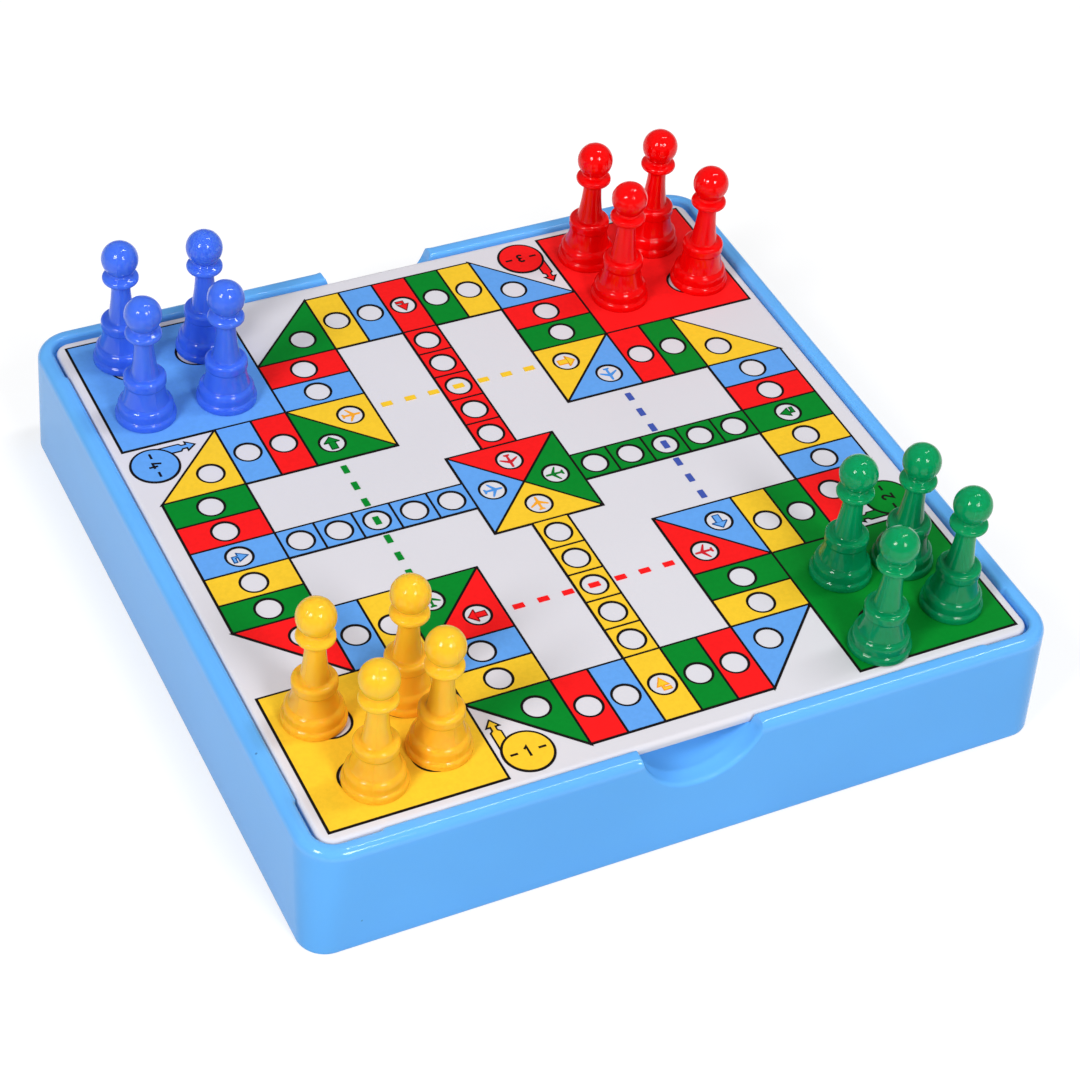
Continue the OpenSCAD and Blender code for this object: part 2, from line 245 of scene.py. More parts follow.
def srgb(red, green, blue):
    """A colour as a picture editor shows it, 0 to 255, turned into the linear colour that a shader takes."""
    parts = []
    for value in (red / 255, green / 255, blue / 255):
        parts.append(value / 12.92 if value < 0.04045 else ((value + 0.055) / 1.055) ** 2.4)
    return (*parts, 1.0)


def new_finish(name, gloss):
    """A new material, its nodes, its shader and the piece's own coordinates. Gloss runs from 0 to 1."""
    material = bpy.data.materials.new(name)
    material.use_nodes = True
    nodes = material.node_tree
    shader = nodes.nodes["Principled BSDF"]
    shader.inputs["IOR"].default_value = PLASTIC_IOR
    shader.inputs["Specular IOR Level"].default_value = gloss
    place = nodes.nodes.new("ShaderNodeTexCoord").outputs["Object"]
    return material, nodes, shader, place


def noise(nodes, place, size, detail):
    """Soft noise from 0 to 1 whose lumps are about the given size, in metres."""
    texture = nodes.nodes.new("ShaderNodeTexNoise")
    texture.inputs["Scale"].default_value = 1 / size
    texture.inputs["Detail"].default_value = detail
    nodes.links.new(place, texture.inputs["Vector"])
    return texture.outputs["Fac"]


def between(nodes, value, low, high, start=NOISE_LOW, stop=NOISE_HIGH):
    """Maps a value onto a range of numbers, smoothly, and holds it there."""
    span = nodes.nodes.new("ShaderNodeMapRange")
    span.interpolation_type = "SMOOTHSTEP"
    span.inputs["From Min"].default_value = start
    span.inputs["From Max"].default_value = stop
    span.inputs["To Min"].default_value = low
    span.inputs["To Max"].default_value = high
    nodes.links.new(value, span.inputs["Value"])
    return span.outputs["Result"]


def mixed(nodes, share, first, second):
    """Mixes two colours by a share. Each is a colour, or the output of another node."""
    blend = nodes.nodes.new("ShaderNodeMix")
    blend.data_type = "RGBA"
    nodes.links.new(share, blend.inputs[0])
    for socket, colour in ((blend.inputs[6], first), (blend.inputs[7], second)):
        if isinstance(colour, tuple):
            socket.default_value = colour
        else:
            nodes.links.new(colour, socket)
    return blend.outputs[2]


def times(nodes, first, second):
    """The product of the outputs of two nodes."""
    product = nodes.nodes.new("ShaderNodeMath")
    product.operation = "MULTIPLY"
    nodes.links.new(first, product.inputs[0])
    nodes.links.new(second, product.inputs[1])
    return product.outputs[0]


def axes(nodes, place):
    """The coordinates X, Y and Z of a place, by name."""
    parts = nodes.nodes.new("ShaderNodeSeparateXYZ")
    nodes.links.new(place, parts.inputs[0])
    return parts.outputs


def shaded(colour, factor):
    """The same colour, darker or lighter."""
    return (*(min(1.0, part * factor) for part in colour[:3]), 1.0)


def drifting(nodes, place, colour, grain):
    """A colour that drifts from the darker to the lighter of the grain's two shades."""
    drift = between(nodes, noise(nodes, place, grain.drift, grain.drift_detail), 0.0, 1.0)
    dark, light = grain.shades
    return mixed(nodes, drift, shaded(colour, dark), shaded(colour, light))


def surfaced(nodes, shader, place, grain, polish=None):
    """Gives a shader the grain's uneven shine and its bumps. A polish scales the roughness."""
    rough = between(nodes, noise(nodes, place, grain.shine, SHINE_DETAIL), *grain.rough)
    if polish is not None:
        rough = times(nodes, rough, polish)
    nodes.links.new(rough, shader.inputs["Roughness"])
    bump = nodes.nodes.new("ShaderNodeBump")
    bump.inputs["Distance"].default_value = grain.depth
    nodes.links.new(noise(nodes, place, grain.bump, grain.bump_detail), bump.inputs["Height"])
    nodes.links.new(bump.outputs["Normal"], shader.inputs["Normal"])


def scattering(shader, weight, radius):
    """Lets a share of the light into the plastic, as deep as the radius for red, green and blue, in mm."""
    shader.inputs["Subsurface Weight"].default_value = weight
    shader.inputs["Subsurface Radius"].default_value = radius
    shader.inputs["Subsurface Scale"].default_value = MM


print("node helpers ready")

# %% [markdown]
# ### Box plastic
# The box is light blue polypropylene. Light goes a little way into such plastic, which softens its edges, so
# the shader has a small share of subsurface scattering of about a millimetre. Hands have polished the rim, so
# the gloss follows the height: a soft sheen on the walls, a bright line along the rounded top edge.
# The drift of the colour is a large noise, the uneven shine a small one, and the specks are the cells of a
# Voronoi texture: only a few cells are let through, and each shows as one dot.

# %% Box plastic
BOX_BLUE = srgb(101, 179, 250)
SPECK_BLUE = srgb(52, 96, 150)
SPECK_CELL = 10 * MM
SPECK_RADIUS = 0.035
SPECK_CORE = 0.014
SPECK_CHOICE = (0.64, 0.95)
SPECK_STRENGTH = 0.8
WALL_GLOSS = 0.09
RIM_GLOSS = 0.42
RIM_POLISH = 0.5
RIM_FROM = 25.5 * MM
RIM_FULL = 26.5 * MM
BOX_SCATTER = 0.12
BOX_GLOW = (0.72, 0.96, 1.2)
BOX_GRAIN = Grain(
    drift=45 * MM, shades=(0.97, 1.03), shine=12 * MM, rough=(0.11, 0.16), bump=6 * MM, depth=0.004 * MM,
)


def specks(nodes, place):
    """How strongly a dust speck in the plastic shows at each place. The radius is a share of a cell."""
    cells = nodes.nodes.new("ShaderNodeTexVoronoi")
    cells.inputs["Scale"].default_value = 1 / SPECK_CELL
    nodes.links.new(place, cells.inputs["Vector"])
    dot = between(nodes, cells.outputs["Distance"], 1.0, 0.0, SPECK_CORE, SPECK_RADIUS)
    pick = nodes.nodes.new("ShaderNodeSeparateColor")
    nodes.links.new(cells.outputs["Color"], pick.inputs["Color"])
    few = between(nodes, pick.outputs["Red"], 0.0, SPECK_STRENGTH, *SPECK_CHOICE)
    return times(nodes, dot, few)


def box_plastic():
    material, nodes, shader, place = new_finish("box_plastic", WALL_GLOSS)
    body = drifting(nodes, place, BOX_BLUE, BOX_GRAIN)
    nodes.links.new(mixed(nodes, specks(nodes, place), body, SPECK_BLUE), shader.inputs["Base Color"])
    height = axes(nodes, place)["Z"]
    gloss = between(nodes, height, WALL_GLOSS, RIM_GLOSS, RIM_FROM, RIM_FULL)
    nodes.links.new(gloss, shader.inputs["Specular IOR Level"])
    polish = between(nodes, height, 1.0, RIM_POLISH, RIM_FROM, RIM_FULL)
    surfaced(nodes, shader, place, BOX_GRAIN, polish)
    scattering(shader, BOX_SCATTER, BOX_GLOW)
    return material


BOX_PLASTIC = box_plastic()
print("finish:", BOX_PLASTIC.name)

# %% [markdown]
# ### Board plastic and inks
# The board is satin white sheet, a touch cool in tone. The inks lie on it as thin satin films: flat, strong
# colours with the faint mottle that screen printing leaves.
# The blue print holds two inks in one layer: pale blue fields and the dark blue dashes of a flight line.
# They could be two pieces, but the dashes lie by themselves in one narrow strip, so the finish itself can
# tell where it is and change its colour there.

# %% Board plastic
BOARD_WHITE = srgb(218, 216, 223)
BOARD_GLOSS = 0.2
BOARD_SCATTER = 0.08
BOARD_GLOW = (0.8, 0.8, 0.8)
BOARD_GRAIN = Grain(
    drift=50 * MM, shades=(0.985, 1.015), shine=4 * MM, rough=(0.30, 0.40), bump=2.2 * MM, depth=0.003 * MM,
)


def board_plastic():
    material, nodes, shader, place = new_finish("board_plastic", BOARD_GLOSS)
    nodes.links.new(drifting(nodes, place, BOARD_WHITE, BOARD_GRAIN), shader.inputs["Base Color"])
    surfaced(nodes, shader, place, BOARD_GRAIN)
    scattering(shader, BOARD_SCATTER, BOARD_GLOW)
    return material


BOARD_PLASTIC = board_plastic()
print("finish:", BOARD_PLASTIC.name)

# %% Inks
INK_BLACK = srgb(24, 20, 20)
INKS = {
    "yellow": srgb(244, 199, 48),
    "green": srgb(6, 132, 42),
    "red": srgb(246, 28, 30),
    "blue": srgb(98, 162, 236),
}
DEEP_INKS = {
    "yellow": srgb(242, 158, 30),
    "green": srgb(6, 74, 28),
    "red": srgb(134, 18, 22),
    "blue": srgb(8, 78, 140),
}
PLANE_INKS = {
    "yellow": srgb(243, 166, 44),
    "green": srgb(12, 116, 40),
    "red": srgb(206, 34, 46),
    "blue": srgb(76, 146, 224),
}
DASH_BLUE = srgb(64, 86, 172)
DASH_STRIP = ((33.0, 35.7), (-19.5, 19.5))
INK_GLOSS = 0.06
INK_GRAIN = Grain(
    drift=0.9 * MM, drift_detail=3.0, shades=(0.97, 1.03), shine=5 * MM, rough=(0.36, 0.46),
    bump=1.2 * MM, depth=0.002 * MM,
)


def inside(nodes, place, strip):
    """One inside a flat strip, given in mm by its two ranges along X and Y, and zero outside."""
    parts = axes(nodes, place)
    shares = []
    for axis, (low, high) in zip("XY", strip):
        near = nodes.nodes.new("ShaderNodeMath")
        near.operation = "COMPARE"
        near.inputs[1].default_value = (low + high) / 2 * MM
        near.inputs[2].default_value = (high - low) / 2 * MM
        nodes.links.new(parts[axis], near.inputs[0])
        shares.append(near.outputs[0])
    return times(nodes, *shares)


def ink(name, colour, strip_colour=None):
    """An ink of one colour. A strip colour, where given, takes its place in the strip of dashes."""
    material, nodes, shader, place = new_finish(name, INK_GLOSS)
    coat = drifting(nodes, place, colour, INK_GRAIN)
    if strip_colour:
        coat = mixed(nodes, inside(nodes, place, DASH_STRIP), coat, strip_colour)
    nodes.links.new(coat, shader.inputs["Base Color"])
    surfaced(nodes, shader, place, INK_GRAIN)
    return material


BLACK_FINISH = ink("ink_black", INK_BLACK)
STRIP_COLOURS = {"blue": DASH_BLUE}
INK_FINISHES = {name: ink(f"ink_{name}", colour, STRIP_COLOURS.get(name)) for name, colour in INKS.items()}
DEEP_FINISHES = {name: ink(f"ink_deep_{name}", colour) for name, colour in DEEP_INKS.items()}
PLANE_FINISHES = {name: ink(f"ink_plane_{name}", colour) for name, colour in PLANE_INKS.items()}
print("inks:", 1 + len(INK_FINISHES) + len(DEEP_FINISHES) + len(PLANE_FINISHES))

# %% [markdown]
# ### Pawn plastic
# The pawns are moulded in a glossy, slightly see-through plastic. Where it is thin, at the collars and the
# neck, light passes and the colour is paler. In the thick bell it is deeper.
# True transmission would need thousands of samples to settle, so the finish uses subsurface scattering and
# lets the colour follow the height of the pawn. Each pawn knows its height, because its origin lies under its
# foot.

# %% Pawn plastic
PAWN_GLOSS = {"yellow": 0.22, "green": 0.25, "red": 0.27, "blue": 0.38}
PAWN_GLOW = {
    "yellow": (0.5, 0.9, 0.9),
    "green": (1.2, 1.8, 1.5),
    "red": (1.6, 1.0, 1.0),
    "blue": (1.2, 1.4, 2.0),
}
PAWN_COLOURS = {
    "yellow": (srgb(255, 184, 44), srgb(255, 196, 46)),
    "green": (srgb(2, 137, 84), srgb(3, 152, 92)),
    "red": (srgb(236, 2, 4), srgb(246, 2, 4)),
    "blue": (srgb(63, 111, 236), srgb(71, 118, 236)),
}
DEEP_BELOW = 5 * MM
PALE_ABOVE = 24 * MM
PAWN_SCATTER = 0.75
# A pawn's two shades are the least and the greatest share of its paler colour in the swirls
PAWN_GRAIN = Grain(
    drift=6 * MM, drift_detail=3.0, shades=(0.0, 0.16), shine=3 * MM, rough=(0.07, 0.11),
    bump=6 * MM, bump_detail=1.0, depth=0.003 * MM,
)


def pawn_plastic(colour_name):
    deep, pale = PAWN_COLOURS[colour_name]
    material, nodes, shader, place = new_finish(f"pawn_{colour_name}", PAWN_GLOSS[colour_name])
    # Painted light: the colour goes from deep at the foot to pale at the head, for the light that thin
    # plastic lets through
    height = between(nodes, axes(nodes, place)["Z"], 0.0, 1.0, DEEP_BELOW, PALE_ABOVE)
    body = mixed(nodes, height, deep, pale)
    lumps = noise(nodes, place, PAWN_GRAIN.drift, PAWN_GRAIN.drift_detail)
    swirl = between(nodes, lumps, *PAWN_GRAIN.shades)
    nodes.links.new(mixed(nodes, swirl, body, pale), shader.inputs["Base Color"])
    surfaced(nodes, shader, place, PAWN_GRAIN)
    scattering(shader, PAWN_SCATTER, PAWN_GLOW[colour_name])
    return material


PAWN_FINISHES = {colour_name: pawn_plastic(colour_name) for colour_name in PAWN_COLOURS}
print("pawn finishes:", list(PAWN_FINISHES))

# %% [markdown]
# ## From rings to a mesh
# The box and the board are both rounded squares whose section changes as it climbs, folds over and goes down.
# A boolean of blocks would give sharp cuts that no bevel follows well, so each is lofted: a ring of points is
# laid at every step of the section, and neighbouring rings are joined by quads.
# A ring takes one point per station. A station is a place on one side, measured along it from the middle, or
# a place on the corner after it.

# %% Stations and rings
CORNER_STEPS = 14
KEPT_HALF = 60.0


class Stations:
    """Places round a rounded square: a side's number, the distance along it in mm, and a corner's turn."""

    def __init__(self, sides, straight):
        quarter = []
        along = []
        turn = []
        for side, places in enumerate(sides):
            quarter += [side] * (len(places) + CORNER_STEPS - 1)
            along += list(places) + [straight] * (CORNER_STEPS - 1)
            turn += [0.0] * len(places) + [k / CORNER_STEPS for k in range(1, CORNER_STEPS)]
        self.quarter = np.array(quarter)
        self.along = np.array(along, float)
        self.turn = np.array(turn)
        self.straight = straight
        self.count = len(quarter)

    def ring(self, half, radius, height):
        """Points of a ring. Places nearer the middle than KEPT_HALF stay, others slide with the corner."""
        half = np.broadcast_to(half, self.count)
        reach = half - radius
        away = np.abs(self.along)
        slid = KEPT_HALF + (away - KEPT_HALF) * (reach - KEPT_HALF) / (self.straight - KEPT_HALF)
        x = np.where(away > KEPT_HALF, np.sign(self.along) * slid, self.along)
        y = -half
        angle = np.radians(90) * (self.turn - 1)
        bend = self.turn > 0
        x = np.where(bend, reach + radius * np.cos(angle), x)
        y = np.where(bend, -reach + radius * np.sin(angle), y)
        cos = np.array([1, 0, -1, 0])[self.quarter]
        sin = np.array([0, 1, 0, -1])[self.quarter]
        z = np.broadcast_to(height, self.count)
        return np.stack([cos * x - sin * y, sin * x + cos * y, z], 1) * MM


def rounding(steps):
    """Sine and cosine of the angles that turn a quarter circle, without the first."""
    return [(math.sin(a), math.cos(a)) for a in np.linspace(0, math.pi / 2, steps + 1)[1:]]


WELD = 0.002 * MM
THIN = 0.001 * MM
LOFT_SHARP = 40


def smoothed(mesh, finishes, sharp_from):
    """Gives a mesh its finishes and shades it smooth, except at edges sharper than an angle in degrees."""
    mesh.shade_smooth()
    mesh.set_sharp_from_angle(angle=math.radians(sharp_from))
    for finish in finishes:
        mesh.materials.append(finish)
    return mesh


def as_piece(name, mesh, finishes, sharp_from):
    """An object for a mesh, smoothed and linked into the scene."""
    piece = bpy.data.objects.new(name, smoothed(mesh, finishes, sharp_from))
    bpy.context.scene.collection.objects.link(piece)
    return piece


def loft(name, rings, finishes):
    """Joins rings of equal length into one closed skin, capped at its first and last ring."""
    count = len(rings[0])
    faces = [tuple(range(count)), tuple(range((len(rings) - 1) * count, len(rings) * count))]
    for here in range(0, (len(rings) - 1) * count, count):
        above = here + count
        for k in range(count):
            after = (k + 1) % count
            faces.append((here + k, here + after, above + after, above + k))
    mesh = bpy.data.meshes.new(name)
    mesh.from_pydata(np.concatenate(rings).tolist(), [], faces)
    work = bmesh.new()
    work.from_mesh(mesh)
    bmesh.ops.remove_doubles(work, verts=work.verts, dist=WELD)
    bmesh.ops.dissolve_degenerate(work, edges=work.edges, dist=THIN)
    bmesh.ops.recalc_face_normals(work, faces=work.faces)
    work.to_mesh(mesh)
    work.free()
    return as_piece(name, mesh, finishes, LOFT_SHARP)


print("loft ready, with", CORNER_STEPS, "steps to a corner")

# %% [markdown]
# ## The box
# The real box is one thin moulding: a skirt outside, a rim on top, a ledge that carries the board, and a
# store in the middle. Two finger scoops, front and back, let the board be lifted.
# Its section is a list of insets and heights. Along the scoops the heights sink into a ball-shaped hollow.
# A soft minimum joins the hollow to the rim, so that the edge between them is round as in the moulding,
# and the rim's outer rounding follows the edge down into the scoop.

# %% Sizes of the box
box_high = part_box("tray")[1]
board_low, board_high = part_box("board")
BOX_HALF = box_high.x / MM
BOX_H = box_high.z / MM
LEDGE_Z = board_low.z / MM
CORNER_R = 7.5
CORNER_LOW = 6.0
CORNER_TOP = 8.5
RIM_CORNER_R = 4.5
RIM_W = 4.0
RIM_ROUND = 2.0
LIP_ROUND = 1.0
RIM_INNER_ROUND = 0.8
RELIEF_D = 0.5
RELIEF_L = 12.0
WALL = 1.6
LEDGE_W = 3.0
STORE_R = 5.0
STORE_INSET = RIM_W + LEDGE_W
STORE_OUT = STORE_INSET - WALL
FLOOR_ROUND = 2.0
SCOOP_R = 13.5
SCOOP_DEPTH = 10.5
SCOOP_INSET = 1.5
SCOOP_EDGE = 1.0
SCOOP_Z = BOX_H + SCOOP_R - SCOOP_DEPTH
# A height above everything, for where there is no scoop
NO_SCOOP = 99.0
SIDE_STRAIGHT = BOX_HALF - CORNER_R
RELIEF_FROM = BOX_HALF - RIM_W - RELIEF_L
print("box:", 2 * BOX_HALF, "mm wide,", BOX_H, "mm high, ledge at", round(LEDGE_Z, 2))

# %% Stations of the box
# Runs of places on half a side, in mm from its middle: closer where the rim's relief starts and at the scoop
CORNER_RUN = np.arange(-72, -66.9, 1.5)
RELIEF_RUN = -RELIEF_FROM + np.linspace(-0.4, 0.4, 5)
PLAIN_RUN = np.arange(-62, -20, 6.0)
BESIDE_SCOOP = np.arange(-20, -18.1, 0.5)
SCOOP_LIP = np.arange(-18, -11.9, 0.25)
SCOOP_MIDDLE = np.arange(-11.5, 0, 0.5)
plain_places = [-SIDE_STRAIGHT, *CORNER_RUN, *RELIEF_RUN, *PLAIN_RUN]
scoop_places = [*BESIDE_SCOOP, *SCOOP_LIP, *SCOOP_MIDDLE]


def both_ways(places):
    """The places, and the same places mirrored past the middle."""
    half = {round(float(p), 3) for p in places}
    return sorted(half | {-p for p in half} | {0.0})


plain_side = both_ways(plain_places)
scoop_side = both_ways(plain_places + scoop_places)
box_stations = Stations([scoop_side, plain_side, scoop_side, plain_side], SIDE_STRAIGHT)
along = box_stations.along
scooped = (box_stations.quarter % 2 == 0) & (box_stations.turn == 0)
print("stations round the box:", box_stations.count)

# %% Heights of rim, ledge and scoop
RELIEF_EASE = 0.3
LIP_FULL = 0.8 * SCOOP_R
LIP_END = 1.1 * SCOOP_R


def soft_min(first, second, width):
    """The lower of two heights, with a round passage of that width where they meet."""
    near = np.clip(width - np.abs(first - second), 0, None) / width
    return np.minimum(first, second) - near * near * width / 4


def ball_height(radius, inset):
    """Height of the underside of the scoop's ball at that inset from the outer face."""
    reach = radius ** 2 - along ** 2 - (inset - SCOOP_INSET) ** 2
    height = SCOOP_Z - np.sqrt(np.clip(reach, 0, None))
    return np.where(scooped & (reach > 0), height, NO_SCOOP)


def rim_height(inset):
    return soft_min(BOX_H, ball_height(SCOOP_R, inset), SCOOP_EDGE)


def ledge_height(inset):
    return soft_min(LEDGE_Z, ball_height(SCOOP_R, inset), RIM_INNER_ROUND)


def roof_height(inset):
    return soft_min(LEDGE_Z - WALL, ball_height(SCOOP_R + WALL, inset), RIM_INNER_ROUND)


def eased(value, start, stop):
    """Rises smoothly from 0 at start to 1 at stop."""
    share = np.clip((value - start) / (stop - start), 0, 1)
    return share * share * (3 - 2 * share)


from_middle = np.abs(along)
relief = eased(from_middle, RELIEF_FROM - RELIEF_EASE, RELIEF_FROM + RELIEF_EASE)
rim_inset = RIM_W - RELIEF_D * np.where(box_stations.turn > 0, 1.0, relief)
in_scoop = np.where(scooped, 1 - eased(from_middle, LIP_FULL, LIP_END), 0.0)
rim_round = RIM_ROUND - (RIM_ROUND - LIP_ROUND) * in_scoop
print("scoop's lowest point:", round(float(rim_height(SCOOP_INSET).min()), 2), "mm above the table")

# %% Rings of the box
rings = []


def outer_radius(height):
    """Radius of the box's upright corners, which open out towards the rim."""
    return CORNER_LOW + (CORNER_TOP - CORNER_LOW) * np.clip(height / (BOX_H - RIM_ROUND), 0, 1)


def lay(inset, height, radius=None):
    """Adds one ring to the box. Its corner follows the outer corner unless a radius is given."""
    inset = np.broadcast_to(np.asarray(inset, float), box_stations.count)
    radius = outer_radius(height) - inset if radius is None else radius
    rings.append(box_stations.ring(BOX_HALF - inset, radius, height))


EDGE = 0.6
SMALL_EDGE = 0.4
SUPPORT = 0.5
store_out_r = STORE_R + WALL
skirt_in_r = outer_radius(LEDGE_Z - WALL) - WALL
lay(STORE_OUT + EDGE + SUPPORT, 0.0, store_out_r - EDGE - SUPPORT)
lay(STORE_OUT + EDGE, 0.0, store_out_r - EDGE)
for s, c in rounding(4):
    lay(STORE_OUT + EDGE * (1 - s), EDGE * (1 - c), store_out_r - EDGE * (1 - s))
for share in (0.05, 0.5, 1.0):
    lay(STORE_OUT, EDGE + share * (roof_height(STORE_OUT) - EDGE), store_out_r)
for share in (0.25, 0.5, 0.75, 1.0):
    inset = STORE_OUT + share * (WALL - STORE_OUT)
    lay(inset, roof_height(inset), store_out_r + share * (skirt_in_r - store_out_r))
for share in (0.5, 0.95, 1.0):
    lay(WALL, roof_height(WALL) + share * (SMALL_EDGE - roof_height(WALL)))
for s, c in rounding(3):
    lay(WALL - SMALL_EDGE * (1 - c), SMALL_EDGE * (1 - s))
lay(EDGE, 0.0)
for s, c in rounding(4):
    lay(EDGE * (1 - s), EDGE * (1 - c))

wall_top = rim_height(0.0) - rim_round
for share in (0.03, 0.2, 0.4, 0.6, 0.8, 0.95, 1.0):
    lay(0.0, EDGE + share * (wall_top - EDGE))
for s, c in rounding(9):
    inset = rim_round * (1 - c)
    lay(inset, rim_height(inset) - rim_round * (1 - s))
for share in (0.15, 0.5, 0.85, 1.0):
    inset = rim_round + share * (rim_inset - RIM_INNER_ROUND - rim_round)
    top_r = (1 - share) * (CORNER_TOP - RIM_ROUND) + share * (RIM_CORNER_R + RIM_INNER_ROUND)
    lay(inset, rim_height(inset), top_r)
inner_edge_r = np.clip(rim_height(rim_inset) - ledge_height(rim_inset), 0, RIM_INNER_ROUND)
for s, c in rounding(6):
    inset = rim_inset - RIM_INNER_ROUND * (1 - s)
    lay(inset, rim_height(inset) - inner_edge_r * (1 - c), RIM_CORNER_R + RIM_INNER_ROUND * (1 - s))
lay(rim_inset, ledge_height(rim_inset), RIM_CORNER_R)
print("rings so far, up and over the rim:", len(rings))

# %% Rings of the ledge, the scoop cups and the store
CUP_EASE = 1.5


def corner_radius(inset):
    """The corner goes from the rim's radius to the store's as the ledge is crossed."""
    share = np.clip((inset - RIM_W) / LEDGE_W, 0, 1)
    return RIM_CORNER_R + share * (STORE_R - RIM_CORNER_R)


ledge_end = STORE_INSET - SMALL_EDGE
for share in (0.25, 0.5, 0.75, 1.0):
    inset = rim_inset + share * (ledge_end - rim_inset)
    lay(inset, ledge_height(inset), corner_radius(inset))

drop = SCOOP_Z - LEDGE_Z
cup_in = math.sqrt(SCOOP_R ** 2 - drop ** 2)
cup_out = math.sqrt((SCOOP_R + WALL) ** 2 - drop ** 2)
store_reach = STORE_INSET - SCOOP_INSET
cup_side = math.sqrt(cup_out ** 2 - store_reach ** 2)
ledge_round = SMALL_EDGE * np.where(scooped, eased(from_middle, cup_side, cup_side + CUP_EASE), 1.0)
for s, c in rounding(3):
    inset = ledge_end + SMALL_EDGE * s
    lay(inset, ledge_height(inset) - ledge_round * (1 - c), STORE_R)


def cup_reach(radius):
    """How far a cup of that radius stands into the store at each station, as an inset."""
    reach = np.sqrt(np.clip(radius ** 2 - along ** 2, store_reach ** 2, None))
    return np.where(scooped, SCOOP_INSET + reach, STORE_INSET)


lip = ledge_height(np.full(box_stations.count, STORE_INSET)) - ledge_round
inner_reach = cup_reach(cup_in)
outer_reach = cup_reach(cup_out)
for share in (0.2, 0.4, 0.6, 0.8, 1.0):
    inset = STORE_INSET + share * (inner_reach - STORE_INSET)
    lay(inset, np.where(inner_reach > STORE_INSET, ledge_height(inset), lip), STORE_R)
lay(outer_reach, np.where(outer_reach > STORE_INSET, LEDGE_Z, lip), STORE_R)
for share in (0.1, 0.3, 0.5, 0.7, 0.85, 1.0):
    inset = outer_reach + share * (STORE_INSET - outer_reach)
    skin = np.minimum(ball_height(SCOOP_R + WALL, inset), LEDGE_Z)
    cup_foot = np.where(outer_reach > STORE_INSET, skin, lip)
    lay(inset, cup_foot, STORE_R)

floor_top = WALL + FLOOR_ROUND
for share in (0.1, 0.5, 0.95, 1.0):
    lay(STORE_INSET, cup_foot + share * (floor_top - cup_foot), STORE_R)
for s, c in rounding(6):
    inset = STORE_INSET + FLOOR_ROUND * (1 - c)
    lay(inset, WALL + FLOOR_ROUND * (1 - s), STORE_R - FLOOR_ROUND * (1 - c))
lay(STORE_INSET + FLOOR_ROUND + SUPPORT, WALL, STORE_R - FLOOR_ROUND - SUPPORT)

box_shell = loft("box_shell", rings, [BOX_PLASTIC])
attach(box_shell, "box")
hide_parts("tray")
print("box shell:", len(box_shell.data.vertices), "points in", len(rings), "rings")

# %% [markdown]
# ## The board
# The board is a flat white sheet with a soft top edge, lying on the ledge. It is lofted like the box, from a
# few rings: flat underneath, a short straight side, a quarter round, and a flat top.
# One more ring just inside the edge keeps the shading of the wide flat top flat.

# %% Board
BOARD_HALF = board_high.x / MM
BOARD_TOP = board_high.z / MM
BOARD_EDGE_R = 1.0
BOARD_UNDER_R = 0.3
BOARD_CORNER_R = CORNER_R - RIM_W
BOARD_PLACES = (-75, -40)

board_stations = Stations([both_ways(BOARD_PLACES)] * 4, BOARD_HALF - BOARD_CORNER_R)
board_rings = []


def lay_board(inset, height):
    board_rings.append(board_stations.ring(BOARD_HALF - inset, BOARD_CORNER_R - inset, height))


lay_board(BOARD_UNDER_R + SUPPORT, LEDGE_Z)
lay_board(BOARD_UNDER_R, LEDGE_Z)
for s, c in rounding(3):
    lay_board(BOARD_UNDER_R * (1 - s), LEDGE_Z + BOARD_UNDER_R * (1 - c))
lay_board(0.0, BOARD_TOP - BOARD_EDGE_R)
for s, c in rounding(8):
    lay_board(BOARD_EDGE_R * (1 - c), BOARD_TOP - BOARD_EDGE_R * (1 - s))
lay_board(BOARD_EDGE_R + SUPPORT, BOARD_TOP)

board_plate = loft("board_plate", board_rings, [BOARD_PLASTIC])
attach(board_plate, "board")
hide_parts("board")
print("board plate:", len(board_plate.data.vertices), "points, top at", round(BOARD_TOP, 2))

# %% [markdown]
# ## The print
# The fields, outlines and flight lines are exact flat films in the frame, so they stay as they are and only
# take their inks. What the frame leaves out is drawn here: the small signs in the white spots, the arrows
# that lead away from the start discs, and a plain player number on each disc.
# Each sign is a flat outline, drawn once pointing up the page, then turned and moved to its spot.
# It is made as a thin film too. An aeroplane is one patch of ink, and an arrow has a dark border and a fill
# of the field's own colour.

# %% Inks on the printed layers
for layer, finish in [("black", BLACK_FINISH), *INK_FINISHES.items()]:
    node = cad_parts[f"print_{layer}"]
    node.data.materials.clear()
    node.data.materials.append(finish)
print("printed layers inked:", 1 + len(INK_FINISHES))

# %% Outlines of the signs
CELL_W = 8.14
CELL_L = 18.5
RUN_HALF = 2.5 * CELL_W
TRACK_INNER = RUN_HALF + CELL_L
BAND_EDGE = TRACK_INNER + 2 * CELL_W
TRI_SPOT = 5.65
CENTRE_SPOT = 7.4
START_D = 10.4
START_GAP = 1.2
START_INSET = 2.2
START_ALONG = TRACK_INNER - START_GAP - START_D / 2
START_FROM_MIDDLE = BOARD_HALF - START_INSET - START_D / 2
LINE_W = 0.55
INK_T = 0.1


def mirrored(half):
    """A whole outline from its right half, which runs from the top down to the bottom."""
    return half + [(-x, y) for x, y in reversed(half) if x > 0]


